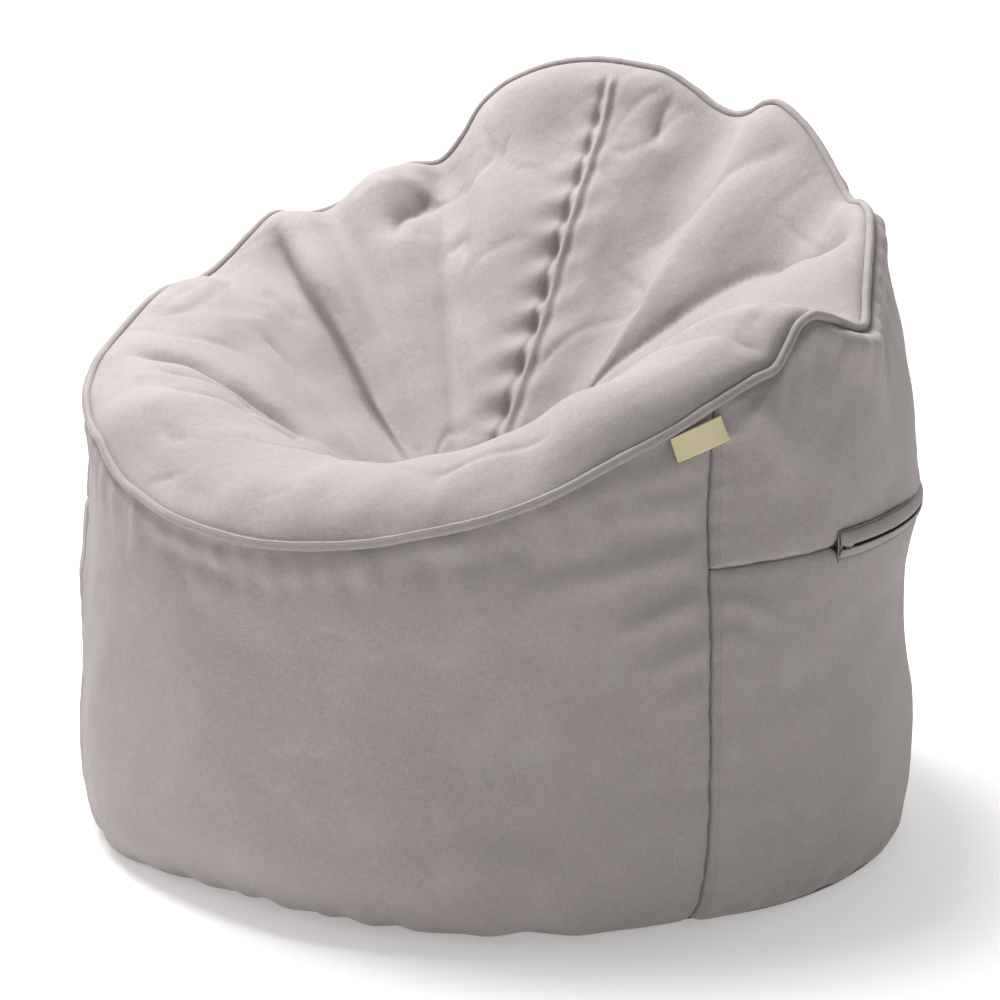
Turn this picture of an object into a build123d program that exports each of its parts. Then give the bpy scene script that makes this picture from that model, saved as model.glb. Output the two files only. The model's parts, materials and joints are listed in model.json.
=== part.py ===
from build123d import *
import math
import os

# A round bean bag chair, in millimetres. +Z is up, the origin is on the floor under
# the middle of the base, and the sitter faces -Y. A bearing is an angle round the
# chair in degrees: 0 at the front (-Y), +90 at +X and 180 at the back.

# The wall, from the floor up.
base_radius = 385.0  # flat base, out to the base seam
belly_radius = 422.0  # widest ring
belly_height = 85.0
waist_radius = 410.0
waist_height = 280.0
shoulder_height = 400.0  # the wall is upright from the waist to here
shoulder_inset = 260.0  # half axes of the ellipse that the wall leans in along
shoulder_rise = 400.0

# The sewn rim, where wall and seat meet: bearing about the hollow, height, and how
# far the stuffed top swells above a plain bowl there.
rim_stations = [
    (-140.0, 608.0, 15.0),
    (-100.0, 492.0, 35.0),
    (-55.0, 394.0, 55.0),
    (0.0, 352.0, 62.0),
    (30.0, 376.0, 62.0),
    (55.0, 446.0, 58.0),
    (100.0, 532.0, 35.0),
    (140.0, 622.0, 15.0),
    (180.0, 718.0, 0.0),
]

# The hollow that the sitter sinks into.
hollow_y = -80.0
hollow_height = 300.0
hollow_softness = 0.12  # 0 would make the hollow a sharp cone

# Cloth and filling.
cover_cloth = 1.0
liner_gap = 0.5
liner_cloth = 0.6
fill_gap = 0.2

# Panel seams.
side_seam_bearing = 51.5
seat_seam_gap = 0.3  # the seat's one seam, from the hollow up the middle of the back
zip_above_waist = 46.0
zip_height = waist_height + zip_above_waist  # where the wall is upright

# Piping sewn into the rim.
piping_cord_radius = 2.4
piping_radius = 3.5
piping_clearance = 0.05
piping_stand_off = 1.0  # from the rim's edge to the tube
piping_stations = 60
piping_join_bearing = 18.8  # where its two ends meet
piping_join_gap = 0.3

# Zips: the cover's and the liner's are the same size, and differ in place.
zip_bearing = 72.0  # one end; the other is the same distance round the other side
liner_zip_above_zip = 46.0
liner_zip_height = zip_height + liner_zip_above_zip
liner_zip_bearing = 130.0
liner_zip_recess = 4.0
tape_thickness = 0.5
tape_height = 14.0
tape_gap = 0.1
coil_width = 2.5
coil_thickness = 1.9
coil_split = 0.7  # half of the gap that the slider's neck runs in
slider_length = 12.0
slider_width = 9.4
slider_plate = 1.0
slider_crown = 0.9
slider_play = 0.3
neck_width = 0.8
neck_length = 3.0
stop_length = 3.0
stop_overhang = 0.3
slot_play = 0.7
flap_thickness = 2.0
flap_upper_height = 12.0
flap_lower_height = 10.0
flap_upper_edge = 1.0
flap_lower_edge = 1.8
tack_length = 20.0
tack_width = 1.6
thread_thickness = 0.45

# The woven label, sewn in under the piping.
label_bearing = 48.5
label_width = 50.0
label_drop = 20.0
label_thickness = 0.8
label_below_rim = 2.4
label_play = 0.5

# The visible row of stitches beside each side seam.
topstitch_offset = 8.0
topstitch_ends = 10.0


def wall_radius(height):
    """Radius of the wall's outside at a height."""
    if height < belly_height:
        drop = (belly_height - height) / belly_height
        return base_radius + (belly_radius - base_radius) * math.sqrt(max(0, 1 - drop**2))
    if height < waist_height:
        part = (height - belly_height) / (waist_height - belly_height)
        return belly_radius + (waist_radius - belly_radius) * (3 * part**2 - 2 * part**3)
    if height < shoulder_height:
        return waist_radius
    rise = (height - shoulder_height) / shoulder_rise
    core = waist_radius - shoulder_inset
    return core + shoulder_inset * math.sqrt(max(0, 1 - rise**2))


def outline(inset):
    """Half section of the closed dome whose lower part is the wall."""
    core = waist_radius - shoulder_inset
    top = shoulder_height + shoulder_rise - inset
    third = (waist_height - belly_height) / 3
    belly = belly_radius - inset
    waist = waist_radius - inset
    heel = EllipticalCenterArc(
        (base_radius, belly_height), belly - base_radius, belly_height - inset, 270
    )
    flank = Bezier(
        (belly, belly_height),
        (belly, belly_height + third),
        (waist, waist_height - third),
        (waist, waist_height),
    )
    side = Line((waist, waist_height), (waist, shoulder_height))
    shoulder = EllipticalCenterArc(
        (core, shoulder_height), waist - core, top - shoulder_height
    )
    close = Polyline((core, top), (0, top), (0, inset), (base_radius, inset))
    return Plane.XZ * make_face([heel, flank, side, shoulder, close])


def dome(inset):
    return revolve(outline(inset), Axis.Z)


def rim_at(bearing):
    """Height and swell of the rim at a bearing about the hollow."""
    count = len(rim_stations)
    stations = [
        (rim_stations[i % count][0] + 360 * (i // count), *rim_stations[i % count][1:])
        for i in range(-2, count + 3)
    ]
    bearing = (bearing + 180) % 360 - 180
    for before, start, end, after in zip(stations, stations[1:], stations[2:], stations[3:]):
        if start[0] <= bearing <= end[0]:
            break
    span = end[0] - start[0]
    part = (bearing - start[0]) / span
    values = []
    for k in (1, 2):
        slope_start = (end[k] - before[k]) / (end[0] - before[0]) * span
        slope_end = (after[k] - start[k]) / (after[0] - start[0]) * span
        values.append(
            (2 * part**3 - 3 * part**2 + 1) * start[k]
            + (part**3 - 2 * part**2 + part) * slope_start
            + (3 * part**2 - 2 * part**3) * end[k]
            + (part**3 - part**2) * slope_end
        )
    return values


def seat_height(x, y):
    """Height of the seat's surface, which carries on smoothly past the rim."""
    bearing = math.atan2(x, hollow_y - y)
    height, swell = rim_at(math.degrees(bearing))
    radius = wall_radius(height)
    across = hollow_y * math.sin(bearing)
    reach = hollow_y * math.cos(bearing) + math.sqrt(radius**2 - across**2)
    part = min(math.hypot(x, y - hollow_y) / reach, 1.3)
    rise = math.hypot(part, hollow_softness) - hollow_softness
    rise /= math.hypot(1, hollow_softness) - hollow_softness
    bulge = 6.75 * part**2 * (1 - part)  # peaks at 1, two thirds of the way out
    if part > 1:
        bulge = -0.6 * math.tanh(6.75 * (part - 1) / 0.6)
    return hollow_height + (height - hollow_height) * rise + swell * bulge


def seat_normal(x, y, step=2.0):
    slope_x = (seat_height(x + step, y) - seat_height(x - step, y)) / (2 * step)
    slope_y = (seat_height(x, y + step) - seat_height(x, y - step)) / (2 * step)
    return Vector(-slope_x, -slope_y, 1).normalized()


def under_seat(inset, count=29):
    """Everything under the seat's surface, that surface being moved in by inset."""
    reach = belly_radius + 30
    places = [reach * (2 * i / (count - 1) - 1) for i in range(count)]
    grid = [
        [Vector(x, y, seat_height(x, y)) - seat_normal(x, y) * inset for y in places]
        for x in places
    ]
    surface = Face.make_surface_from_array_of_points(grid, tol=0.5, max_deg=3)
    return extrude(surface, amount=shoulder_height + shoulder_rise + 100, dir=(0, 0, -1))


def on_wall(bearing, radius, height):
    angle = math.radians(bearing)
    return Vector(radius * math.sin(angle), -radius * math.cos(angle), height)


def rim_point(bearing):
    """Where wall and seat meet, at a bearing about the chair's middle."""
    low, high = belly_height, shoulder_height + shoulder_rise - 1
    for _ in range(50):
        height = (low + high) / 2
        point = on_wall(bearing, wall_radius(height), height)
        if height < seat_height(point.X, point.Y):
            low = height
        else:
            high = height
    return point


def wall_normal(bearing, height, step=1.0):
    lean = (wall_radius(height - step) - wall_radius(height + step)) / (2 * step)
    return (on_wall(bearing, 1, 0) + Vector(0, 0, lean)).normalized()


def sector(first_bearing, last_bearing):
    """A wedge of the whole chair between two bearings less than 180 apart."""
    reach = 4 * belly_radius
    corners = [(0, 0)] + [
        tuple(on_wall(bearing, reach, 0))[:2] for bearing in (first_bearing, last_bearing)
    ]
    wedge = make_face(Polyline(*corners, close=True))
    return extrude(Pos(0, 0, -50) * wedge, amount=shoulder_height + shoulder_rise + 100)


def ring(points, first_bearing, last_bearing):
    """A strip round the wall whose section has these radius and height corners."""
    section = Plane.XZ * make_face(Polyline(*points, close=True))
    strip = revolve(section, Axis.Z, last_bearing - first_bearing)
    return Rot(0, 0, first_bearing - 90) * strip


def band(inner, outer, bottom, top, first_bearing, last_bearing):
    corners = [(inner, bottom), (outer, bottom), (outer, top), (inner, top)]
    return ring(corners, first_bearing, last_bearing)


def degrees_along(length, radius):
    return math.degrees(length / radius)


# Sizes across the zip, from the cloth's outside, for both zips.
slot_half = slider_width / 2 + slot_play
coil_reach = coil_split + coil_width


class Zip:
    """One zip sewn round the inside of a wall of cloth."""

    def __init__(self, radius, cloth, height, bearing):
        self.height = height
        self.first = bearing
        self.last = 360 - bearing
        self.radius = radius
        self.tape_out = radius - cloth - tape_gap
        self.tape_in = self.tape_out - tape_thickness
        self.coil_in = self.tape_out + piping_clearance
        self.coil_out = self.coil_in + coil_thickness
        self.bore_in = self.tape_in - slider_play
        self.bore_out = self.coil_out + slider_play
        self.slider_in = self.bore_in - slider_plate
        self.slider_out = self.bore_out + slider_plate + slider_crown
        self.stop_angle = degrees_along(stop_length, radius)
        self.coil_first = self.first + 1.5 * self.stop_angle
        self.coil_last = self.last - 1.5 * self.stop_angle
        half_slider = degrees_along(slider_length / 2, radius)
        self.slider_first = self.coil_first + 1.5 * half_slider
        self.slider_last = self.coil_last - 1.5 * half_slider

    def slot(self):
        bottom, top = self.height - slot_half, self.height + slot_half
        return band(self.tape_in, self.radius + 5, bottom, top, self.first, self.last)

    def tape(self, side):
        edge, selvedge = sorted((side * coil_split, side * tape_height))
        low, high = self.height + edge, self.height + selvedge
        return band(self.tape_in, self.tape_out, low, high, self.first, self.last)

    def coil(self, side):
        edge, far = sorted((side * coil_split, side * coil_reach))
        low, high = self.height + edge, self.height + far
        return band(self.coil_in, self.coil_out, low, high, self.coil_first, self.coil_last)

    def stops(self):
        low, high = self.height - coil_reach, self.height + coil_reach
        inner, outer = self.coil_in, self.coil_out + stop_overhang
        start = band(
            inner, outer, low, high, self.first + 0.2 * self.stop_angle,
            self.first + 1.2 * self.stop_angle,
        )
        end = band(
            inner, outer, low, high, self.last - 1.2 * self.stop_angle,
            self.last - 0.2 * self.stop_angle,
        )
        return Compound([start.solid(), end.solid()])

    def slider(self):
        """Two plates joined by a neck, round the coils and open at the tapes."""
        low = (Align.MIN, Align.CENTER, Align.CENTER)
        plates_out = self.bore_out + slider_plate
        block = Pos(self.slider_in, 0, 0) * Box(
            plates_out - self.slider_in, slider_length, slider_width, align=low
        )
        block = fillet(block.edges().filter_by(Axis.X), 2.5)
        bore = Pos(self.bore_in, 0, 0) * Box(
            self.bore_out - self.bore_in, 2 * slider_length, 2 * (coil_reach + slider_play),
            align=low,
        )
        gap = Pos(self.bore_in, 0, 0) * Box(
            tape_thickness + 2 * slider_play, 2 * slider_length, 2 * slider_width, align=low
        )
        neck = Pos(self.bore_in, neck_length - slider_length / 2, 0) * Box(
            self.bore_out - self.bore_in, neck_length, neck_width, align=low
        )
        crown = Pos(plates_out, 0, 0) * Box(slider_crown, 7, 4, align=low)
        crown = fillet(crown.edges().filter_by(Axis.X), 1.5)
        crown = fillet(crown.faces().sort_by(Axis.X)[-1].edges(), 0.4)
        whole = block - bore - gap + neck + crown
        return Pos(0, 0, self.height) * Rot(0, 0, self.slider_first - 90) * whole

    def flap(self, side, reach, edge):
        """A folded strip that stands off the wall, over the slider, and covers the coil."""
        foot = self.radius + piping_clearance
        lift = self.slider_out + slider_play
        outer = lift + flap_thickness
        inner_z = self.height + side * (slot_half + slider_play)
        edge_z = self.height + side * edge
        far_z = self.height + side * reach
        corners = [
            (foot, inner_z),
            (lift, inner_z),
            (lift, edge_z),
            (outer, edge_z),
            (outer, far_z - side * flap_thickness),
            (foot, far_z),
        ]
        return ring(corners, self.first, self.last)

    def tacks(self):
        half = degrees_along(tack_width / 2, self.radius)
        inner = self.radius + piping_clearance
        pieces = []
        for bearing in (self.first - 4 * half, self.last + 4 * half):
            pieces.append(
                band(
                    inner, inner + thread_thickness, self.height - tack_length / 2,
                    self.height + tack_length / 2, bearing - half, bearing + half,
                ).solid()
            )
        return Compound(pieces)


cover_zip = Zip(waist_radius, cover_cloth, zip_height, zip_bearing)
liner_radius = waist_radius - cover_cloth - liner_gap
liner_zip_radius = liner_radius - liner_zip_recess
liner_zip = Zip(liner_zip_radius, liner_cloth, liner_zip_height, liner_zip_bearing)

parts = {}

# The cover's cloth.
dome_cover = dome(0)
dome_inside = dome(cover_cloth)
seat_cover = under_seat(0)
seat_inside = under_seat(cover_cloth)

floor_disc = Pos(0, 0, cover_cloth / 2) * Cylinder(base_radius, cover_cloth)
wall = (dome_cover & seat_cover) - dome_inside - floor_disc
front_sector = sector(-side_seam_bearing, side_seam_bearing)
slot = cover_zip.slot()
back = wall - front_sector - slot
above_zip = Pos(0, 0, zip_height) * Box(
    3 * belly_radius, 3 * belly_radius, 1000, align=(Align.CENTER, Align.CENTER, Align.MIN)
)
parts["front_panel"] = wall & front_sector
parts["back_upper_panel"] = back & above_zip
parts["back_lower_panel"] = back - above_zip
parts["base_panel"] = floor_disc

# The seat is one sheet wrapped into a bowl, and its two edges meet up the back.
seat_seam = Pos(0, hollow_y, 0) * Box(
    seat_seam_gap, 3 * belly_radius, 2000, align=(Align.CENTER, Align.MIN, Align.CENTER)
)
parts["seat_panel"] = (dome_inside & seat_cover) - seat_inside - seat_seam

# Piping: a cord in a strip of the same cloth, round the rim.
piping_points = []
for i in range(piping_stations):
    edge = rim_point(piping_join_bearing + 360 * (i + 0.5) / piping_stations)
    out = wall_normal(math.degrees(math.atan2(edge.X, -edge.Y)), edge.Z)
    out += seat_normal(edge.X, edge.Y)
    piping_points.append(edge + out.normalized() * (piping_radius + piping_stand_off))
# The two ends butt in the middle of the run that closes the loop.
closing = piping_points[0] - piping_points[-1]
middle = (piping_points[0] + piping_points[-1]) / 2
half_gap = closing.normalized() * (piping_join_gap / 2)
piping_points = [middle + half_gap, *piping_points, middle - half_gap]
radii = []
for before, point, after in zip(piping_points, piping_points[1:], piping_points[2:]):
    run, next_run = point - before, after - point
    turn = math.radians(run.get_angle(next_run))
    radii.append(0.45 * min(run.length, next_run.length) / math.tan(turn / 2))
print("piping radii", round(min(radii)), "to", round(max(radii)))
rim_path = FilletPolyline(*piping_points, radius=radii)
start = Plane(origin=rim_path @ 0, z_dir=rim_path % 0)
parts["piping_cord"] = sweep(start * Circle(piping_cord_radius), path=rim_path)
strip_bore = piping_cord_radius + piping_clearance
parts["piping_cover"] = sweep(
    start * (Circle(piping_radius) - Circle(strip_bore)), path=rim_path
)

# The cover's zip, with the flaps and tacks that finish it.
for side, word in ((1, "upper"), (-1, "lower")):
    parts["zip_tape_" + word] = cover_zip.tape(side)
    parts["zip_coil_" + word] = cover_zip.coil(side)
parts["zip_stops"] = cover_zip.stops()
parts["zip_slider"] = cover_zip.slider()
parts["zip_flap_upper"] = cover_zip.flap(1, flap_upper_height, flap_upper_edge)
parts["zip_flap_lower"] = cover_zip.flap(-1, flap_lower_height, flap_lower_edge)
parts["zip_end_tacks"] = cover_zip.tacks()

# Threads beside the side seams.
stitch_strip = outline(-piping_clearance - thread_thickness) - outline(-piping_clearance)
stitch_strip -= Plane.XZ * Rectangle(3 * belly_radius, 2 * topstitch_ends)
thread_angle = degrees_along(thread_thickness, waist_radius)
thread = revolve(stitch_strip, Axis.Z, thread_angle)
below_rim = under_seat(topstitch_ends)
stitch_bearing = side_seam_bearing + degrees_along(topstitch_offset, waist_radius)
for side, word in ((1, "right"), (-1, "left")):
    turned = Rot(0, 0, side * stitch_bearing - 90) * thread
    parts["side_topstitch_" + word] = turned & below_rim

# The label hangs from its sewn edge.
label_rim = rim_point(label_bearing)
ahead, behind = rim_point(label_bearing + 3), rim_point(label_bearing - 3)
label_normal = wall_normal(label_bearing, label_rim.Z)
along = (ahead - behind).normalized()
along = (along - label_normal * along.dot(label_normal)).normalized()
down = along.cross(label_normal)
if down.Z > 0:
    down = -down
label_edge = label_rim + down * label_below_rim
label_plane = Plane(origin=label_edge, x_dir=along, z_dir=label_normal)
parts["side_label"] = label_plane * Pos(0, 0, label_play) * Box(
    label_width, label_drop, label_thickness, align=(Align.CENTER, Align.MAX, Align.MIN)
)
label_pivot = label_edge + label_normal * (label_play + label_thickness / 2)

# The liner and its zip, inside the cover, and the beads inside the liner.
liner_out = cover_cloth + liner_gap
liner_in = liner_out + liner_cloth
fill_in = liner_in + fill_gap
tape_room = tape_height + 2


def hollows(cloth, extra_depth):
    """Room behind both zips, deeper by the cloth that the room's wall is made of."""
    half = tape_room + cloth
    past = degrees_along(10 + cloth, waist_radius)
    cover_back = cover_zip.slider_in - 1 - cloth
    liner_back = liner_zip_radius - cloth - extra_depth
    behind_cover = band(
        cover_back, belly_radius + 20, zip_height - half, zip_height + half,
        zip_bearing - past, 360 - zip_bearing + past,
    )
    behind_liner = band(
        liner_back, belly_radius + 20, liner_zip_height - half, liner_zip_height + half,
        liner_zip_bearing - past, 360 - liner_zip_bearing + past,
    )
    return behind_cover + behind_liner


liner_body = (dome(liner_out) & under_seat(liner_out)) - hollows(0, 0)
liner_space = (dome(liner_in) & under_seat(liner_in)) - hollows(liner_cloth, 0)
liner = liner_body - liner_space - liner_zip.slot()
liner_disc = Pos(0, 0, liner_out + liner_cloth / 2) * Cylinder(base_radius, liner_cloth)
# The liner's top is what lies inside its wall, above the space for the beads.
liner_lid = (dome(liner_in) & under_seat(liner_out)) - hollows(liner_cloth, 0)
parts["liner_top"] = liner_lid - under_seat(liner_in)
parts["liner_base"] = liner_disc
parts["liner_wall"] = liner - parts["liner_top"] - liner_disc
for side, word in ((1, "upper"), (-1, "lower")):
    parts["liner_zip_tape_" + word] = liner_zip.tape(side)
    parts["liner_zip_coil_" + word] = liner_zip.coil(side)
parts["liner_zip_stops"] = liner_zip.stops()
parts["liner_zip_slider"] = liner_zip.slider()

slider_room = liner_zip_radius - liner_zip.slider_in + 1
fill_space = dome(fill_in) & under_seat(fill_in)
parts["bead_fill"] = fill_space - hollows(liner_cloth + fill_gap, slider_room)

os.makedirs("parts", exist_ok=True)
for name, shape in parts.items():
    shape.label = name
    export_step(shape, f"parts/{name}.step")

for name, made in (("cover zip", cover_zip), ("liner zip", liner_zip)):
    travel = made.slider_last - made.slider_first
    print(f"{name} slider travels {travel:.1f} degrees about Z")
axis = -along
print("label pivot", [round(v / 1000, 5) for v in label_pivot], "axis", [round(v, 5) for v in axis])
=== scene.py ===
import json
import math
import bpy
import numpy as np
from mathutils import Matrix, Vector
from mathutils.bvhtree import BVHTree


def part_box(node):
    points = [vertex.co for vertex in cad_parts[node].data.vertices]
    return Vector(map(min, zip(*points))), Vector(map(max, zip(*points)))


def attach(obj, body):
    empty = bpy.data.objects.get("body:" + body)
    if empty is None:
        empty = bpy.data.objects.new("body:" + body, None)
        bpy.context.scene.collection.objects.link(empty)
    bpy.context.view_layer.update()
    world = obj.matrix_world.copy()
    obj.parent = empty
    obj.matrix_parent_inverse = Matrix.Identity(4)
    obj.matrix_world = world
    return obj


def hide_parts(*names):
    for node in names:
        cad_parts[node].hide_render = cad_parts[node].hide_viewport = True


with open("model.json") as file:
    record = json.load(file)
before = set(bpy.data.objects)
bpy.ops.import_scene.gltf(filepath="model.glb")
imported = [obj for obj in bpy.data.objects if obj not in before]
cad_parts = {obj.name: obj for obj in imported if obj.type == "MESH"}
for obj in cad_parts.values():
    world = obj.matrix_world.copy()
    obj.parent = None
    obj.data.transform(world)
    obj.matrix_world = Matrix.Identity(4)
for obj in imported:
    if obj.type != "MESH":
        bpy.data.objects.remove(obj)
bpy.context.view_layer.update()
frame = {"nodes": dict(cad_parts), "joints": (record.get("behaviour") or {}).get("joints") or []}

# A round bean bag chair. Lengths in the dictionaries are millimetres. A bearing goes round the chair in
# degrees: 0 at the front (-Y), 90 at +X and 180 at the back.
mm = 0.001


def deselectAll():
    bpy.ops.object.select_all(action="DESELECT")


def makeActive(piece):
    deselectAll()
    piece.select_set(True)
    bpy.context.view_layer.objects.active = piece


def applyAll(piece):
    makeActive(piece)
    for modifier in list(piece.modifiers):
        bpy.ops.object.modifier_apply(modifier=modifier.name)


def smoothStep(x, low, high):
    t = np.clip((x - low) / (high - low), 0, 1)
    return t * t * (3 - 2 * t)


def readTable(table, x, period=None):  # a smooth line through listed points
    rows = np.array(table, float)
    if period:
        x = (x - rows[0, 0]) % period + rows[0, 0]
        turn = np.zeros(rows.shape[1])
        turn[0] = period
        rows = np.vstack([rows[-2:] - turn, rows, rows[:3] + turn])
    else:
        x = np.clip(x, rows[0, 0], rows[-1, 0])
    places, values = rows[:, 0], rows[:, 1:]
    slopes = np.gradient(values, places, axis=0)
    i = np.clip(np.searchsorted(places, x, side="right") - 1, 0, len(places) - 2)
    span = (places[i + 1] - places[i])[..., None]
    t = (x[..., None] - places[i][..., None]) / span
    return (
        (2 * t**3 - 3 * t**2 + 1) * values[i]
        + (t**3 - 2 * t**2 + t) * slopes[i] * span
        + (3 * t**2 - 2 * t**3) * values[i + 1]
        + (t**3 - t**2) * slopes[i + 1] * span
    )


def sheetFrom(name, points, core, uv):  # a grid of points as a surface that looks away from core
    faces = gridFaces(*points.shape[:2])
    points = points.reshape(-1, 3)
    corner = points[faces]
    away = np.cross(corner[:, 2] - corner[:, 0], corner[:, 3] - corner[:, 1])
    if np.sum(away * (corner.mean(axis=1) - core)) < 0:
        faces = faces[:, ::-1]
    return meshOf(name, points, faces.tolist(), uv.reshape(-1, 2))


def meshOf(name, points, faces, uv=None):  # any faces, in millimetres
    mesh = bpy.data.meshes.new(name)
    mesh.from_pydata((np.asarray(points) * mm).tolist(), [], faces)
    if uv is not None:
        layer = mesh.uv_layers.new(name="cloth")
        corners = np.empty(len(mesh.loops), int)
        mesh.loops.foreach_get("vertex_index", corners)
        layer.data.foreach_set("uv", (uv[corners] * mm).astype(np.float32).ravel())
    piece = bpy.data.objects.new(name, mesh)
    bpy.context.scene.collection.objects.link(piece)
    return piece


def atBearing(radius, bearing, height):
    angle = np.radians(bearing)
    return np.stack([radius * np.sin(angle), -radius * np.cos(angle), height + 0 * angle], -1)


def gridFaces(rows, columns, flip=False, wrap=False):
    i, j = np.meshgrid(np.arange(rows - 1), np.arange(columns if wrap else columns - 1), indexing="ij")
    i, j = i.ravel(), j.ravel()
    k = (j + 1) % columns
    quads = np.stack([i * columns + j, i * columns + k, (i + 1) * columns + k, (i + 1) * columns + j], 1)
    return quads[:, ::-1] if flip else quads


def gridNormals(points):
    du = np.gradient(points, axis=0)
    dv = np.gradient(points, axis=1)
    normal = np.cross(du, dv)
    return normal / np.maximum(np.linalg.norm(normal, axis=-1, keepdims=True), 1e-9)


def lump(points, size, seed):  # smooth random field, about -1 to 1, from a few plane waves
    waves = np.random.default_rng(seed)
    total = 0
    for _ in range(14):
        way = waves.normal(size=3)
        way *= 2 * math.pi / (size * waves.uniform(0.7, 1.5) * np.linalg.norm(way))
        total = total + np.sin(points @ way + waves.uniform(0, 6.28))
    return total / 3.2


zipHeight = (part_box("zip_coil_upper")[0][2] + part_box("zip_coil_lower")[1][2]) / 2 / mm

chair = {
    "bellyHeight": 88,
    "waistHeight": 255,
    "waistRadius": 410,
    "hollow": (0, -80, 300),
    "hollowSoftness": 0.12,
    "sideSeam": 51.5,
    "zipEnd": 72,
}

# The wall, by bearing: radius at the floor, at its fullest and at the waist, and how full its upper half is.
girthLine = [
    (-178, 376, 414, 408, 4), (-140, 378, 414, 408, 4), (-100, 384, 414, 407, -6), (-75, 392, 414, 406, -8),
    (-58, 392, 415, 406, -8), (-48, 389, 415, 407, -6), (-41, 393, 416, 409, 0), (-35, 384, 416, 410, 2),
    (-30, 370, 416, 410, 3), (-24, 353, 416, 411, 3), (-16, 342, 416, 411, 3), (-9, 336, 416, 411, 3),
    (-3, 340, 416, 411, 3), (3, 344, 416, 411, 3), (10, 354, 416, 411, 3), (18, 359, 416, 411, 3),
    (23, 366, 416, 411, 3), (29, 358, 416, 411, 3), (36, 368, 415, 411, 2), (43, 369, 414, 410, 0),
    (50, 367, 413, 410, 0), (57, 380, 412, 410, 0), (64, 388, 411, 409, 2), (72, 393, 411, 407, 5),
    (85, 397, 411, 402, 8), (98, 400, 411, 400, 9), (115, 398, 411, 401, 8), (135, 386, 412, 405, 4),
    (158, 379, 413, 407, 2),
]

# The sewn rim: bearing, radius and height.
rimLine = [
    (-176, 310, 723), (-171, 311, 722), (-161, 317, 708), (-155.5, 325, 691), (-152, 333, 671),
    (-149, 342, 640), (-146, 349, 616), (-139, 356, 606), (-133, 360, 592), (-127, 363, 566),
    (-119, 366, 556),
    (-114.6, 370, 559), (-110, 374, 538), (-105.7, 378, 516), (-100.6, 381, 498), (-97, 384, 494),
    (-93, 388, 491), (-88.8, 390, 483), (-84.7, 393, 470), (-81, 395, 459), (-75, 396, 446),
    (-70.5, 396, 439), (-64.5, 396, 426), (-58, 395, 418), (-52, 394, 406), (-46, 394, 399),
    (-41, 395, 395), (-37, 397, 384), (-31, 400, 371), (-26, 402, 365), (-20, 406, 357),
    (-11, 409, 350), (-5, 410, 347), (0, 410, 348), (5, 410, 351), (11, 410, 357),
    (16, 409, 365), (22.5, 409, 376), (30.5, 409, 396), (39.5, 409, 428), (45.3, 407, 446),
    (51.6, 405, 468), (57, 403.5, 484), (60.8, 402, 494), (62.5, 400.5, 508), (64.2, 399, 523),
    (66.5, 396.5, 530), (71.3, 392, 526), (75.5, 388, 517.5), (82, 379, 508), (88.5, 370, 508),
    (93, 362, 521), (100, 355, 546), (108, 354, 570), (116, 357, 589), (121, 357, 594),
    (126, 355, 594), (133, 352, 623), (138.7, 347, 654.5), (143.5, 341, 675), (147, 337, 684),
    (149.5, 333, 682), (152, 330, 674), (156, 327, 670), (160, 323, 677), (165, 319, 695),
    (170.5, 314, 712), (176, 311, 718),
]

# How far the stuffed seat swells above a plain bowl, by bearing about the hollow.
swellLine = [(-140, 14), (-101, 38), (-57, 62), (0, 66), (56, 64), (101, 34), (142, 14), (180, 0)]


def rimAt(bearing):
    radius, height = np.moveaxis(readTable(rimLine, bearing, 360), -1, 0)
    angle = np.radians(bearing)
    return np.stack([radius * np.sin(angle), -radius * np.cos(angle), height], -1)


roundChair = np.linspace(-180, 180, 1441)
rimPlaces = rimAt(roundChair)
hollow = np.array(chair["hollow"], float)
rimFromHollow = np.degrees(np.arctan2(rimPlaces[:, 0], hollow[1] - rimPlaces[:, 1]))
rimFromHollow[0], rimFromHollow[-1] = -180, 180


def seatBowl(x, part):  # x is a bearing about the hollow, part goes from 0 there to 1 at the rim
    rim = rimAt(np.interp(x, rimFromHollow, roundChair))
    soft = chair["hollowSoftness"]
    rise = (np.hypot(part, soft) - soft) / (math.hypot(1, soft) - soft)
    swell = readTable(swellLine, x, 360)[..., 0]
    place = hollow + (rim - hollow) * part[..., None]
    place[..., 2] = hollow[2] + (rim[..., 2] - hollow[2]) * rise + swell * 6.75 * part**2 * (1 - part)
    return place, rim


def seatHeightAt(x, y):
    bearing = np.degrees(np.arctan2(x, hollow[1] - y))
    rim = rimAt(np.interp(bearing, rimFromHollow, roundChair))
    reach = np.hypot(rim[..., 0] - hollow[0], rim[..., 1] - hollow[1])
    part = np.hypot(x, y - hollow[1]) / reach
    return seatBowl(bearing, np.minimum(part, 1))[0][..., 2]


def onSeat(line):  # lifts plan points onto the bowl, and rounds the line off
    plan = np.array(line, float)
    steps = np.linspace(0, 1, len(plan))
    fine = readTable(np.column_stack([steps, plan]), np.linspace(0, 1, 8 * len(plan)))
    return np.column_stack([fine, seatHeightAt(fine[:, 0], fine[:, 1])])


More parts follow.
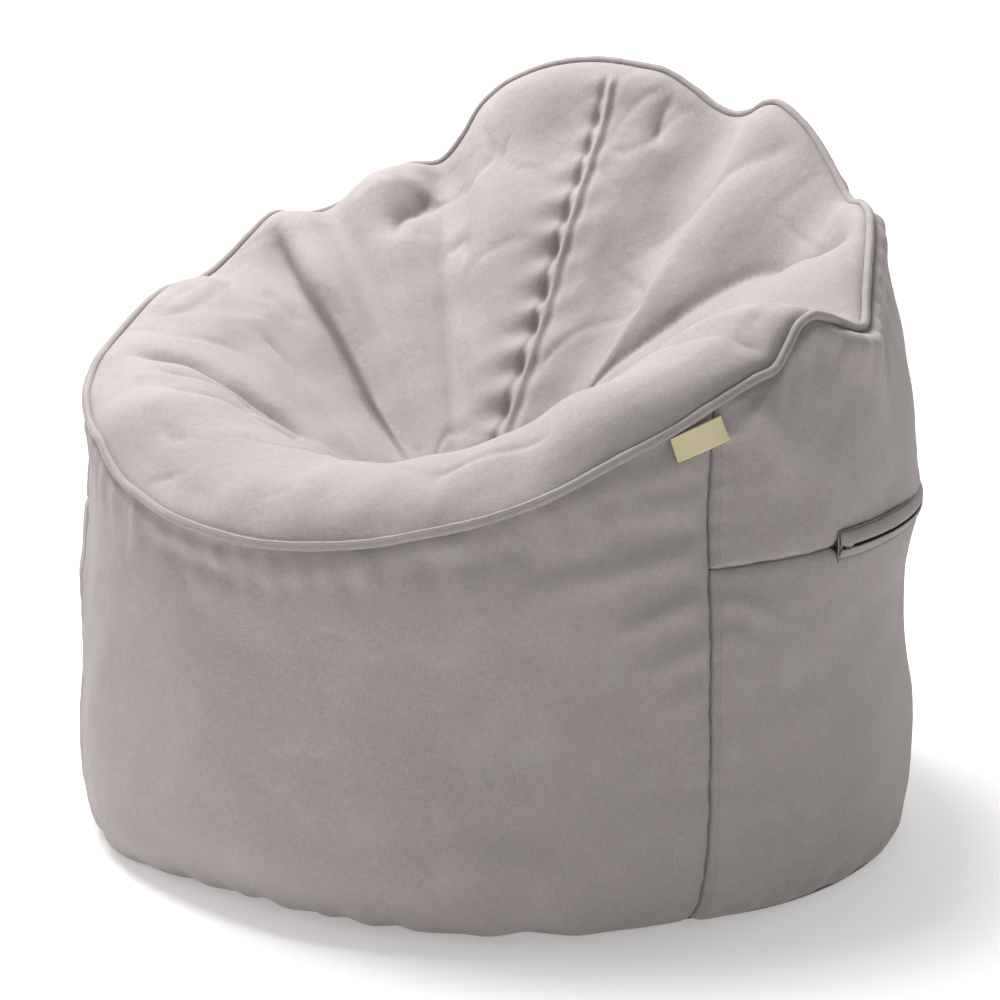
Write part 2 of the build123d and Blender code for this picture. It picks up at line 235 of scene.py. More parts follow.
def nearLine(points, line, normals, reach):  # distance, side and share of the length, for points within reach
    near = np.all((points > line.min(axis=0) - reach) & (points < line.max(axis=0) + reach), axis=-1)
    place, up = points[near], normals[near]
    best = np.full(len(place), 1e6)
    side = np.zeros_like(best)
    share = np.zeros_like(best)
    lengths = np.linalg.norm(np.diff(line, axis=0), axis=1)
    run = np.concatenate([[0], np.cumsum(lengths)]) / lengths.sum()
    for k in range(len(line) - 1):
        step = line[k + 1] - line[k]
        away = place - line[k]
        t = np.clip((away @ step) / (step @ step), 0, 1)
        gap = away - t[..., None] * step
        distance = np.linalg.norm(gap, axis=-1)
        closer = distance < best
        best = np.where(closer, distance, best)
        turn = np.sign(np.einsum("...k,...k->...", np.cross(step, gap), up))
        side = np.where(closer, turn, side)
        share = np.where(closer, run[k] + t * (run[k + 1] - run[k]), share)
    whole = []
    for values, other in ((best, 1e6), (side, 0), (share, 0)):
        filled = np.full(near.shape, float(other))
        filled[near] = values
        whole.append(filled)
    return whole


def rumples(points, seed):  # soft wandering wrinkles, 0 between them and 1 in their beds
    drift = np.stack([lump(points, 140, seed + k) for k in (1, 2, 3)], -1)
    bed = lump(points + 30 * drift, 120, seed)
    where = smoothStep(lump(points, 230, seed + 4), -0.3, 0.7)
    return where * np.exp(-((bed / 0.26) ** 2))


# Creases in the seat: plan points from the rim inwards, depth, the widths on the left and on the right,
# and how far the left side hangs over.
creases = [
    ([(-345, 150), (-300, 110), (-262, 80), (-208, 50), (-154, 17), (-95, -25), (-45, -60)], 28, 9, 34, 5),
    ([(-250, 88), (-200, 64), (-142, 28), (-88, -12), (-40, -50)], 9, 5, 7, 0),
    (
        [(-335, -150), (-300, -140), (-264, -131), (-233, -132), (-204, -124), (-165, -110), (-110, -95)],
        14, 12, 7, 0,
    ),
    ([(-290, -190), (-250, -170), (-205, -150), (-160, -135), (-105, -125)], 7, 10, 7, 0),
    ([(-250, -225), (-205, -205), (-160, -180), (-110, -150)], 6, 12, 9, 0),
    ([(-275, -10), (-220, -15), (-181, -33), (-140, -50), (-90, -68)], 6, 12, 8, 0),
    ([(-300, 60), (-270, 50), (-235, 40)], 3, 8, 6, 0),
    ([(-190, 245), (-195, 220), (-205, 195), (-190, 170)], 14, 10, 16, 0),
    ([(-150, 190), (-125, 185), (-110, 160)], 5, 9, 9, 0),
    ([(355, 90), (300, 130), (240, 150), (195, 145), (127, 103), (63, 53), (20, -10)], 26, 34, 60, 0),
    ([(250, 270), (200, 240), (139, 218), (90, 185), (50, 150)], 9, 30, 40, 0),
    ([(290, 90), (235, 95), (180, 75), (120, 40)], 5, 14, 20, 0),
    ([(70, 300), (62, 275), (66, 250)], 8, 16, 18, 0),
]

# The seat's seam up the back, and the pockets that its thread pulls in beside it.
seamLine = [(2, -55), (-1, -10), (0, 40), (1, 95), (-1, 150), (0, 200), (1, 250), (0, 296)]
pockets = {
    "shares": [0.06, 0.15, 0.24, 0.335, 0.43, 0.505, 0.60, 0.68, 0.765, 0.84, 0.91, 0.965],
    "depths": [5, 8, 9, 10, 11, 9, 10, 8, 8, 7, 5, 4],
    "reach": 34,
    "width": 8.5,
    "slant": 0.55,
}

seat = {
    "across": (231, 181), "puffReach": 42, "puffSpread": 110, "seamCrowding": 0.35, "rumple": 2.3,
    "seamRidge": (2.2, 3.6), "seamTrough": (7, 4), "troughDepths": (4.5, 2.5), "otherSide": 0.22,
    "broadLumps": (2.6, 160), "smallLumps": (0.9, 55),
}
# Stuffing that rises steeply off the rim, by bearing about the chair, and settles again further in.
puffLine = [
    (-172, 10), (-160, 12), (-150, 4), (-146, 2), (-141, 18), (-134, 30), (-127, 20), (-124, 12), (-119, 20),
    (-114, 14), (-106, 8), (-101, 8), (-96, 16), (-90, 12), (-80, 8), (-60, 8), (-40, 8), (-20, 6), (0, 5),
    (15, 3), (30, 5), (45, 18), (60, 22), (68, 10), (80, 8), (100, 10), (120, 8), (140, 8), (154, 3),
    (165, 8),
]


def seatSurface(bearing, part):  # bearing about the hollow, part from 0 there to 1 at the rim
    place, rim = seatBowl(bearing, part)
    normal = gridNormals(place)
    normal *= np.sign(normal[..., 2].mean())
    fromRim = np.linalg.norm(rim - place, axis=-1)
    inside = smoothStep(fromRim, 0, 30)
    push = np.zeros_like(part)
    slide = np.zeros_like(place)

    puff = readTable(puffLine, np.degrees(np.arctan2(rim[..., 0], -rim[..., 1])), 360)[..., 0]
    reach = seat["puffReach"]
    edge = np.sqrt(np.clip(1 - (1 - np.minimum(fromRim / reach, 1)) ** 2, 0, 1))
    push += puff * edge * np.exp(-np.maximum(fromRim - reach, 0) / seat["puffSpread"])

    for line, depth, left, right, over in creases:
        run = onSeat(line)
        far, side, share = nearLine(place, run, normal, 4 * max(left, right))
        width = np.where(side > 0, left, right)
        fade = smoothStep(share, 0, 0.2) * (1 - smoothStep(share, 0.6, 1)) * smoothStep(fromRim, 4, 45)
        push -= depth * fade * (0.9 * np.exp(-((far / width) ** 1.25)) + 0.28 * np.exp(-far / 6))
        if over:  # the fuller side hangs over the crease
            lean = over * fade * (far / 12) * np.exp(1 - far / 12) * (side > 0)
            way = np.cross(run[-1] - run[0], normal)
            way /= np.linalg.norm(way, axis=-1, keepdims=True)
            slide += way * lean[..., None]

    seam = onSeat(seamLine)
    far, side, share = nearLine(place, seam, normal, 180)
    ends = smoothStep(share, 0, 0.04) * (1 - smoothStep(share, 0.97, 1))
    length = np.linalg.norm(np.diff(seam, axis=0), axis=1).sum()
    ridge, ridgeWidth = seat["seamRidge"]
    trough, troughWidth = seat["seamTrough"]
    beside = np.where(side > 0, *seat["troughDepths"]) * np.exp(-(((far - trough) / troughWidth) ** 2))
    push += ends * (ridge * np.exp(-((far / ridgeWidth) ** 2)) - beside)
    for where, depth in zip(pockets["shares"], pockets["depths"]):
        along = (share - where) * length
        for way, strength in ((1, 1.0), (-1, seat["otherSide"])):
            drift = along + pockets["slant"] * far * way
            spread = pockets["width"] * (1 + far / 30)
            away = np.exp(-far / pockets["reach"]) * smoothStep(far, 1.5, 6)
            fold = np.exp(-((drift / spread) ** 2)) - 0.6 * np.exp(-(((drift - 1.9 * spread) / spread) ** 2))
            push -= np.where(side * way > 0, strength * ends * depth * fold * away, 0)

    for (high, size), seed in ((seat["broadLumps"], 3), (seat["smallLumps"], 4)):
        push += inside * high * lump(place, size, seed)
    push -= inside * seat["rumple"] * rumples(place, 30)
    return place + normal * push[..., None] + slide, normal


def fromFront(bearing):
    return np.abs((bearing + 180) % 360 - 180)


def wallRadius(bearing, height):  # outside of the wall, before wrinkles
    foot, belly, waist, full = np.moveaxis(readTable(girthLine, bearing, 360), -1, 0)
    low, mid = chair["bellyHeight"], chair["waistHeight"]
    heel = foot + (belly - foot) * np.sqrt(np.clip(1 - ((low - height) / low) ** 2, 0, 1))
    flank = belly + (waist - belly) * smoothStep(height, low, mid)
    radius = np.where(height < low, heel, flank)
    rim = rimAt(bearing)
    rimRadius, top = np.hypot(rim[..., 0], rim[..., 1]), rim[..., 2]
    w = np.clip((height - mid) / (top - mid), 0, 1)
    lean = 0.55 * w**1.7 + 0.45 * (1 - np.sqrt(1 - 0.94 * w**4)) / (1 - math.sqrt(0.06))
    radius = radius + (rimRadius - waist) * lean + full * 4 * w * (1 - w)
    zipped = smoothStep(fromFront(bearing), 62, 74) * np.exp(-(((height - zipHeight) / 38) ** 2))
    return radius + (chair["waistRadius"] - 0.6 - radius) * zipped


wall = {
    "cell": 6.0, "rows": 76, "slotHalf": 5.4, "tuck": 2.5, "foldGain": 1.6, "seamDepth": 3.0, "seamRoll": 1.5,
    "seamPucker": (0.9, 26), "zipSeamDepth": 2.2, "zipPucker": (1.0, 31), "rimPuff": 9,
    "rimRipple": (1.7, 34), "hem": (2.4, 57), "broadLumps": (2.4, 190), "smallLumps": (0.6, 60),
}

# Tension folds in the wall: (bearing, height) points, how high they stand, and their width.
wallFolds = [
    ([(50.5, 305), (44, 292), (36, 270)], 3.4, 9),
    ([(50.5, 345), (43, 338), (34, 326), (25, 322)], 3.2, 12),
    ([(50.5, 385), (42, 384), (33, 372)], 3.0, 13),
    ([(50.5, 420), (44, 414), (35, 396), (27, 372)], 3.5, 14),
    ([(50.5, 265), (46, 252), (40, 236)], 2.2, 10),
    ([(50.5, 225), (46, 214), (42, 200)], 1.6, 10),
    ([(52.5, 300), (57, 290), (62, 270)], 2.2, 8),
    ([(52.5, 275), (56, 262), (60, 240)], 1.6, 8),
    ([(56, 470), (60, 440), (62, 410), (61, 380)], 5.0, 14),
    ([(72, 505), (80, 478), (92, 450)], 5.0, 20),
    ([(54, 440), (55.5, 400), (57, 372)], -2.5, 8),
    ([(-30, 350), (-18, 338), (-4, 332), (8, 336)], 1.8, 9),
    ([(-24, 330), (-12, 318), (2, 316)], -1.5, 9),
    ([(-6, 318), (6, 330), (18, 346)], 1.4, 7),
    ([(10, 335), (22, 345), (36, 372)], -1.6, 12),
    ([(-12, 336), (-9, 322), (-4, 312)], 1.3, 6),
]


def onWall(bearing, height):
    radius = wallRadius(bearing, height)
    angle = np.radians(bearing)
    return np.stack([radius * np.sin(angle), -radius * np.cos(angle), height], -1)


def wallSurface(bearing, height):  # with its folds, seams and puckers
    place = onWall(bearing, height)
    across = onWall(bearing + 0.05, height) - place
    up = onWall(bearing, height + 1) - onWall(bearing, height - 1)
    normal = np.cross(across, up)
    normal /= np.maximum(np.linalg.norm(normal, axis=-1, keepdims=True), 1e-9)
    top = rimAt(bearing)[..., 2]
    fromRim = top - height
    push = np.zeros_like(height)
    for line, high, width in wallFolds:
        pairs = np.array(line, float)
        steps = np.linspace(0, 1, len(pairs))
        fine = readTable(np.column_stack([steps, pairs]), np.linspace(0, 1, 6 * len(pairs)))
        far, side, share = nearLine(place, onWall(fine[:, 0], fine[:, 1]), normal, 3.5 * width)
        fade = smoothStep(share, 0, 0.1) * (1 - smoothStep(share, 0.45, 1))
        push += wall["foldGain"] * high * fade * np.exp(-((far / width) ** 2))
    around = np.radians(bearing) * chair["waistRadius"]
    away = np.abs(np.radians(fromFront(bearing) - chair["sideSeam"])) * chair["waistRadius"]
    push -= wall["seamDepth"] * np.exp(-away / 5) - wall["seamRoll"] * np.exp(-(((away - 20) / 14) ** 2))
    high, pitch = wall["seamPucker"]
    push += high * np.sin(height * 2 * math.pi / pitch + 2.2 * np.sin(height / 31)) * np.exp(-away / 16)
    behind = smoothStep(fromFront(bearing), chair["sideSeam"], chair["sideSeam"] + 2)
    away = np.abs(height - zipHeight)
    push -= behind * wall["zipSeamDepth"] * np.exp(-away / 5)
    high, pitch = wall["zipPucker"]
    pucker = np.sin(around * 2 * math.pi / pitch + 1.7 * np.sin(around / 47))
    push += behind * high * pucker * np.exp(-away / 15)
    edge = wall["rimPuff"] * np.exp(-(((fromRim - 14) / 16) ** 2)) * smoothStep(fromRim, 0, 12)
    push += edge * readTable(edgeLine, bearing, 360)[..., 0]
    high, pitch = wall["rimRipple"]
    ripple = np.sin(around * 2 * math.pi / pitch + 2.0 * np.sin(around / 53) + height / 60)
    push += high * ripple * np.exp(-(((fromRim - 22) / 22) ** 2))
    high, pitch = wall["hem"]
    hem = np.sin(around * 2 * math.pi / pitch + 2.4 * np.sin(around / 71))
    push += high * hem * np.exp(-((height / 26) ** 2)) * smoothStep(height, -1, 14)
    broad, broadSize = wall["broadLumps"]
    small, smallSize = wall["smallLumps"]
    push += broad * lump(place, broadSize, 11) * smoothStep(height, 0, 60)
    push += small * lump(place, smallSize, 12)
    slack = 0.8 + 1.4 * np.exp(-((fromRim / 70) ** 2)) + 1.2 * np.exp(-((height / 60) ** 2))
    push -= slack * rumples(place, 50)
    place = place + normal * (push * smoothStep(fromRim, 0, 10))[..., None]
    place[..., 2] = np.maximum(place[..., 2], 1.4)
    return place, normal


# How much the wall puffs out just below the rim, by bearing.
edgeLine = [
    (-150, 0.6), (-90, 0.4), (-50, 0.3), (0, 0.15), (30, 0.05), (57, 0.05), (75, 1.0), (100, 1.1), (125, 0.8),
    (150, 0.9),
]


def wallGrid(first, last, bottomOf, topOf, rows):  # bearings and heights, evenly spread along the cloth
    columns = int(round(math.radians(last - first) * chair["waistRadius"] / wall["cell"])) + 1
    bearing = np.linspace(first, last, columns)
    low, high = bottomOf(bearing), topOf(bearing)
    heights = low[:, None] + (high - low)[:, None] * np.linspace(0, 1, 300) ** 1.5
    radii = wallRadius(bearing[:, None] + 0 * heights, heights)
    steps = np.hypot(np.diff(heights), np.diff(radii))
    length = np.concatenate([np.zeros((columns, 1)), np.cumsum(steps, axis=1)], axis=1)
    grid = np.empty((columns, rows))
    for k in range(columns):
        grid[k] = np.interp(np.linspace(0, length[k, -1], rows), length[k], heights[k])
    both = np.repeat(bearing[:, None], rows, axis=1)
    around = np.radians(both) * chair["waistRadius"]
    uv = np.stack([around, length[:, -1:] * np.linspace(0, 1, rows)], -1)
    return both, grid, uv


def wallPanel(name, first, last, bottomOf, topOf, rows):
    bearing, height, uv = wallGrid(first, last, bottomOf, topOf, rows)
    place, normal = wallSurface(bearing, height)
    tuck = wall["tuck"]  # the edges turn in at every seam
    place[0] -= normal[0] * tuck
    place[-1] -= normal[-1] * tuck
    if height[0, 0] > 5:
        place[:, 0] -= normal[:, 0] * tuck
    if height[0, -1] < rimAt(bearing[:1, 0])[0, 2] - 5:
        place[:, -1] -= normal[:, -1] * tuck
    return sheetFrom(name, place, (0, 0, 200), uv)


def slotEdge(bearing, side):  # beside the zip the panels stop short of each other
    into = smoothStep(fromFront(bearing), chair["zipEnd"] - 0.6, chair["zipEnd"] + 0.2)
    return zipHeight + side * wall["slotHalf"] * into


def wallTop(bearing):
    return rimAt(bearing)[:, 2]


side = chair["sideSeam"]
frontPanel = wallPanel("frontPanel", -side, side, lambda b: 0 * b, wallTop, wall["rows"])
lowerPanel = wallPanel("backLowerPanel", side, 360 - side, lambda b: 0 * b, lambda b: slotEdge(b, -1), 60)
upperPanel = wallPanel("backUpperPanel", side, 360 - side, lambda b: slotEdge(b, 1), wallTop, 52)
print("wall panels laid out")


def seatPanelMesh():
    across, along = seat["across"]
    crowd = seat["seamCrowding"]
    a, b = np.meshgrid(np.linspace(-1, 1, across), np.linspace(-1, 1, along), indexing="ij")
    a = a * (1 - crowd) + crowd * a**3
    p, q = a * np.sqrt(1 - b * b / 2), b * np.sqrt(1 - a * a / 2)
    bearing, part = np.degrees(np.arctan2(p, -q)), np.minimum(np.hypot(p, q), 1)
    place, normal = seatSurface(bearing, part)
    reach, last = 0 * part, seatBowl(bearing, 0 * part)[0]
    for step in np.linspace(0, 1, 25)[1:]:  # how much cloth lies between the hollow and each point
        here = seatBowl(bearing, part * step)[0]
        reach += np.linalg.norm(here - last, axis=-1)
        last = here
    angle = np.radians(bearing)
    uv = np.stack([reach * np.sin(angle), -reach * np.cos(angle)], -1)
    return sheetFrom("seatPanel", place, (0, 0, -3000), uv)


seatPanel = seatPanelMesh()
print("seat panel laid out")


def basePanelMesh():
    rings, spokes = 40, 360
    angle = np.linspace(-180, 180, spokes, endpoint=False)
    foot = readTable(girthLine, angle, 360)[:, 0] + 1.5
    ring = atBearing(foot, angle, 0.6)
    share = np.linspace(0, 1, rings + 1)[1:, None, None]
    points = np.vstack([[[0, 0, 0.6]], (ring * share * [1, 1, 0] + [0, 0, 0.6]).reshape(-1, 3)])
    faces = [[0, 1 + (k + 1) % spokes, 1 + k] for k in range(spokes)]
    quads = gridFaces(rings, spokes, wrap=True) + 1
    return meshOf("basePanel", points, faces + quads.tolist(), points[:, :2])


basePanel = basePanelMesh()


def addModifier(piece, kind, **settings):
    modifier = piece.modifiers.new(kind.lower(), kind)
    for name, value in settings.items():
        setattr(modifier, name, value)
    return modifier


panels = {
    "front_panel": frontPanel,
    "back_lower_panel": lowerPanel,
    "back_upper_panel": upperPanel,
    "seat_panel": seatPanel,
    "base_panel": basePanel,
}
cloth = {"thickness": 1.2}
for node, panel in panels.items():
    addModifier(panel, "SUBSURF", levels=1, render_levels=1)
    applyAll(panel)


def treeOf(pieces):
    points, faces = [], []
    for piece in pieces:
        start = len(points)
        points += [v.co.copy() for v in piece.data.vertices]
        faces += [[start + k for k in face.vertices] for face in piece.data.polygons]
    return BVHTree.FromPolygons(points, faces)


coverTree = treeOf(panels.values())
wallTree = treeOf([frontPanel, lowerPanel, upperPanel])


def ontoCloth(tree, points, lift=0.0):  # the nearest place on the cover, lifted off it
    placed, normals = [], []
    for point in points:
        spot, normal, _, _ = tree.find_nearest(Vector(point) * mm)
        placed.append(np.array(spot + normal * lift * mm) / mm)
        normals.append(np.array(normal))
    return np.array(placed), np.array(normals)


def underCloth(points, gap):  # pulls hidden pieces in until they clear the cover
    placed = np.array(points, float)
    for k, point in enumerate(placed):
        spot, normal, _, _ = coverTree.find_nearest(Vector(point) * mm)
        depth = (spot - Vector(point) * mm).dot(normal) / mm
        if depth < gap:
            placed[k] = np.array(spot - normal * gap * mm) / mm
    return placed


def tubeMesh(name, path, radii, sides, closed=True, turn=None):
    count = len(path)
    ahead = (np.roll(path, -1, 0) - np.roll(path, 1, 0)) if closed else np.gradient(path, axis=0)
    ahead /= np.linalg.norm(ahead, axis=1, keepdims=True)
    out = turn - ahead * np.sum(turn * ahead, axis=1, keepdims=True)
    out /= np.linalg.norm(out, axis=1, keepdims=True)
    up = np.cross(ahead, out)
    angle = np.linspace(0, 2 * math.pi, sides, endpoint=False)
    radii = np.broadcast_to(radii, (count, sides))
    ring = out[:, None] * np.cos(angle)[:, None] + up[:, None] * np.sin(angle)[:, None]
    points = path[:, None] + ring * radii[..., None]
    steps = np.linalg.norm(np.diff(path, axis=0), axis=1)
    run = np.concatenate([[0], np.cumsum(steps)])
    uv = np.stack([run[:, None] + 0 * radii, radii * angle], -1).reshape(-1, 2)
    points = points.reshape(-1, 3)
    if closed:
        rows = np.vstack([np.arange(count * sides).reshape(count, sides), np.arange(sides)[None]])
        i, j = np.meshgrid(np.arange(count), np.arange(sides), indexing="ij")
        i, j = i.ravel(), j.ravel()
        k = (j + 1) % sides
        faces = np.stack([rows[i, j], rows[i, k], rows[i + 1, k], rows[i + 1, j]], 1).tolist()
    else:
        faces = gridFaces(count, sides, wrap=True).tolist()
        start = (count - 1) * sides
        faces += [list(range(sides))[::-1], [start + k for k in range(sides)]]
    return meshOf(name, points, [face[::-1] for face in faces], uv)


# The welt: a cord inside a bias-cut strip, sewn round the whole rim.
piping = {"radius": 3.4, "core": 2.3, "standOff": 3.2, "join": 18.8, "around": 1500}


def pipingPath():
    bearing = np.linspace(-180, 180, piping["around"], endpoint=False)
    rim = rimAt(bearing)
    ahead = np.roll(rim, -1, 0) - np.roll(rim, 1, 0)
    ahead /= np.linalg.norm(ahead, axis=1, keepdims=True)
    angle = np.radians(bearing)
    radial = np.stack([np.sin(angle), -np.cos(angle), 0 * angle], -1)
    out = radial * 0.8 + np.array([0, 0, 0.6])
    out -= ahead * np.sum(out * ahead, axis=1, keepdims=True)
    out /= np.linalg.norm(out, axis=1, keepdims=True)
    return bearing, rim + out * piping["standOff"], out


pipingBearing, pipingLine, pipingOut = pipingPath()
pipingRun = np.linspace(0, 2630, piping["around"])
wobble = 0.12 * np.sin(pipingRun / 5.3 + np.sin(pipingRun / 17)) + 0.1 * np.sin(pipingRun / 11)
turnAngle = np.linspace(0, 2 * math.pi, 16, endpoint=False)
joinAway = (pipingBearing[:, None] - piping["join"]) * 7.1 - 4 * np.cos(turnAngle + 0.6)
lap = 0.5 * smoothStep(joinAway, -0.6, 0.6) * (1 - smoothStep(joinAway, 3, 16))
pipingRadii = piping["radius"] + wobble[:, None] + lap
pipingCover = tubeMesh("pipingCover", pipingLine, pipingRadii, 16, turn=pipingOut)
pipingCore = tubeMesh("pipingCord", pipingLine, piping["core"], 10, turn=pipingOut)
addModifier(pipingCover, "SUBSURF", levels=1, render_levels=1)
addModifier(pipingCover, "SOLIDIFY", thickness=0.8 * mm, offset=-1)
applyAll(pipingCover)
print("piping done")

# The folded label, sewn in under the piping; its hinge gives its top edge.
labelSize = {"width": 50, "drop": 20, "thread": 0.35, "lift": 1.9, "curl": 3.0}
hinge = next(joint for joint in frame["joints"] if joint["name"] == "label_swing")
pivot = np.array(hinge["pos_m"]) / mm
labelAlong = -np.array(hinge["axis"], float)


def labelMesh():
    width, drop, lift = labelSize["width"], labelSize["drop"], labelSize["lift"]
    out = np.array([pivot[0], pivot[1], 0])
    out -= labelAlong * out.dot(labelAlong)
    out /= np.linalg.norm(out)
    down = np.cross(labelAlong, out)
    across = np.linspace(-width / 2, width / 2, 41)
    fold = 0.42  # half the space between the two leaves
    front = [(d, fold) for d in np.linspace(-1.2, drop - fold, 22)]
    bends = np.linspace(0.4, math.pi - 0.4, 5)
    turn = [(drop - fold + fold * math.sin(a), fold * math.cos(a)) for a in bends]
    back = [(d, -fold) for d in np.linspace(drop - fold, -1.2, 22)]
    profile = np.array(front + turn + back)
    x, d = np.meshgrid(across, profile[:, 0], indexing="ij")
    thick = np.meshgrid(across, profile[:, 1], indexing="ij")[1]
    far = np.clip(d / drop, 0, 1)
    corner = np.clip((x - 8) / 17, 0, 1) ** 2
    stand = lift + 0.9 * far + labelSize["curl"] * far**2 * (0.25 + corner) + 0.5 * np.sin(x / 9) * far
    bow = 1.1 * (1 - (x / 25) ** 2) * far**2
    points = pivot + x[..., None] * labelAlong + (d + bow)[..., None] * down
    points = points + (stand + thick)[..., None] * out
    return sheetFrom("sideLabel", points, (0, 0, 300), np.stack([x, d + 40 * (thick < 0)], -1))


sideLabel = labelMesh()
addModifier(sideLabel, "SOLIDIFY", thickness=labelSize["thread"] * mm, offset=-1)
applyAll(sideLabel)


def ringOf(node):  # inner and outer radius, lowest and highest point, first and last bearing
    points = np.array([v.co for v in frame["nodes"][node].data.vertices]) / mm
    radius = np.hypot(points[:, 0], points[:, 1])
    bearing = np.degrees(np.arctan2(points[:, 0], -points[:, 1])) % 360
    return radius.min(), radius.max(), points[:, 2].min(), points[:, 2].max(), bearing.min(), bearing.max()


def stitchRow(name, spots, normals, size):  # one sunk-ended loop of thread for each stitch
    steps = np.linalg.norm(np.diff(spots, axis=0), axis=1)
    run = np.concatenate([[0], np.cumsum(steps)])
    starts = np.arange(0, run[-1] - size["length"], size["length"] + size["gap"])
    share = np.array([0, 0.12, 0.5, 0.88, 1])
    height = np.array([-0.5, 0.35, 0.8, 0.35, -0.5]) * size["radius"]
    thin = np.array([0.45, 0.9, 1, 0.9, 0.45]) * size["radius"]
    angle = np.linspace(0, 2 * math.pi, 6, endpoint=False)
    points, faces = [], []
    for start in starts:
        at = start + share * size["length"]
        line = np.stack([np.interp(at, run, spots[:, k]) for k in range(3)], 1)
        out = np.stack([np.interp(at, run, normals[:, k]) for k in range(3)], 1)
        out /= np.linalg.norm(out, axis=1, keepdims=True)
        ahead = line[-1] - line[0]
        ahead /= np.linalg.norm(ahead)
        beside = np.cross(ahead, out)
        beside /= np.linalg.norm(beside, axis=1, keepdims=True)
        centre = line + out * height[:, None]
        first = len(points)
        for k in range(5):
            for a in angle:
                points.append(centre[k] + thin[k] * (math.cos(a) * out[k] + math.sin(a) * beside[k]))
        for k in range(4):
            for m in range(6):
                n = (m + 1) % 6
                low = first + 6 * k
                faces.append([low + 6 + m, low + 6 + n, low + n, low + m])
        faces.append([first + m for m in range(6)])
        faces.append([first + 24 + m for m in range(6)][::-1])
    return meshOf(name, points, faces)


sideStitch = {"length": 3.1, "gap": 0.7, "radius": 0.34, "fromSeam": 8.0, "ends": 12}
tackStitch = {"length": 2.6, "gap": 0.15, "radius": 0.3, "width": 1.5, "tall": 20}


def sideTopstitch(name, side):
    shift = math.degrees(sideStitch["fromSeam"] / chair["waistRadius"])
    bearing = side * (chair["sideSeam"] + shift)
    top = rimAt(np.array([bearing]))[0, 2] - sideStitch["ends"]
    height = np.linspace(sideStitch["ends"], top, 160)
    rough = onWall(np.full(160, bearing), height)
    spots, normals = ontoCloth(wallTree, rough)
    return stitchRow(name, spots, normals, sideStitch)


rightTopstitch = sideTopstitch("sideTopstitchRight", 1)
leftTopstitch = sideTopstitch("sideTopstitchLeft", -1)


def zipTacks():
    spots, normals = [], []
    _, _, _, _, first, last = ringOf("zip_tape_upper")
    rows = int(tackStitch["tall"] / 0.75)
    for bearing, way in ((first - 0.35, 1), (last + 0.35, -1)):
        for k in range(rows):
            height = zipHeight + tackStitch["tall"] * (k / (rows - 1) - 0.5)
            half = math.degrees(tackStitch["width"] / 2 / chair["waistRadius"])
            swing = half if k % 2 else -half
            spots.append(atBearing(chair["waistRadius"] + 0.9, np.array([bearing + swing])[0], height))
    spots = np.array(spots)
    out = spots * [1, 1, 0]
    return spots, out / np.linalg.norm(out, axis=1, keepdims=True), rows


tackSpots, tackOut, tackRows = zipTacks()
tackPieces = []
for k in range(2):
    part = slice(k * tackRows, (k + 1) * tackRows)
    stitch = dict(tackStitch, length=float(np.linalg.norm(tackSpots[1] - tackSpots[0])) - 0.15)
    tackPieces.append(stitchRow("zipEndTack" + "AB"[k], tackSpots[part], tackOut[part], stitch))


def stripBetween(name, node, thickness):  # woven tape, standing on its edge round the wall
    low, high, bottom, top, first, last = ringOf(node)
    bearing = np.linspace(first, last, 330)
    height = np.linspace(bottom, top, 9)
    both, tall = np.meshgrid(bearing, height, indexing="ij")
    points = atBearing(high + 0 * both, both, tall)
    tape = sheetFrom(name, points, (0, 0, 300), np.stack([np.radians(both) * high, tall], -1))
    addModifier(tape, "SOLIDIFY", thickness=thickness * mm, offset=-1)
    applyAll(tape)
    return tape


tapeUpper = stripBetween("zipTapeUpper", "zip_tape_upper", 0.45)
tapeLower = stripBetween("zipTapeLower", "zip_tape_lower", 0.45)

coil = {"pitch": 1.7, "wire": 0.34, "points": 8}


def coilAlong(name, node):
    low, high, bottom, top, first, last = ringOf(node)
    wire = coil["wire"]
    turns = int(math.radians(last - first) * low / coil["pitch"])
    t = np.linspace(0, turns, turns * coil["points"] + 1)
    angle = 2 * math.pi * t
    bearing = first + (last - first) * (0.5 + t) / (turns + 1)
    halfDeep, halfTall = (high - low) / 2 - wire, (top - bottom) / 2 - wire
    centre = atBearing((low + high) / 2, bearing, (top + bottom) / 2)
    middleRadius, middleHeight = (low + high) / 2, (top + bottom) / 2
    radius, height = middleRadius + halfDeep * np.sin(angle), middleHeight + halfTall * np.cos(angle)
    path = atBearing(radius, bearing, height)
    return tubeMesh(name, path, wire, 5, closed=False, turn=path - centre)


coilUpper = coilAlong("zipCoilUpper", "zip_coil_upper")
coilLower = coilAlong("zipCoilLower", "zip_coil_lower")

# The two lips of folded cover cloth that hide the zip: (radius, height from the zip) round each one.
lips = {
    "upper": [
        (409.4, 12.4), (411.0, 12.0), (413.2, 9.6), (414.9, 6.0), (415.25, 3.0), (414.9, 1.4), (414.2, 1.0),
        (413.55, 1.5), (413.45, 5.6), (412.2, 8.6), (410.4, 10.8), (409.2, 11.6),
    ],
    "lower": [
        (409.2, -9.6), (410.4, -8.8), (412.0, -7.6), (413.4, -5.6), (413.5, -2.6), (414.1, -1.9),
        (414.7, -2.3),
        (414.9, -4.4), (413.9, -7.4), (412.0, -9.6), (410.6, -10.4), (409.4, -10.8),
    ],
}


def faceOut(piece):
    makeActive(piece)
    bpy.ops.object.mode_set(mode="EDIT")
    bpy.ops.mesh.select_all(action="SELECT")
    bpy.ops.mesh.normals_make_consistent(inside=False)
    bpy.ops.object.mode_set(mode="OBJECT")


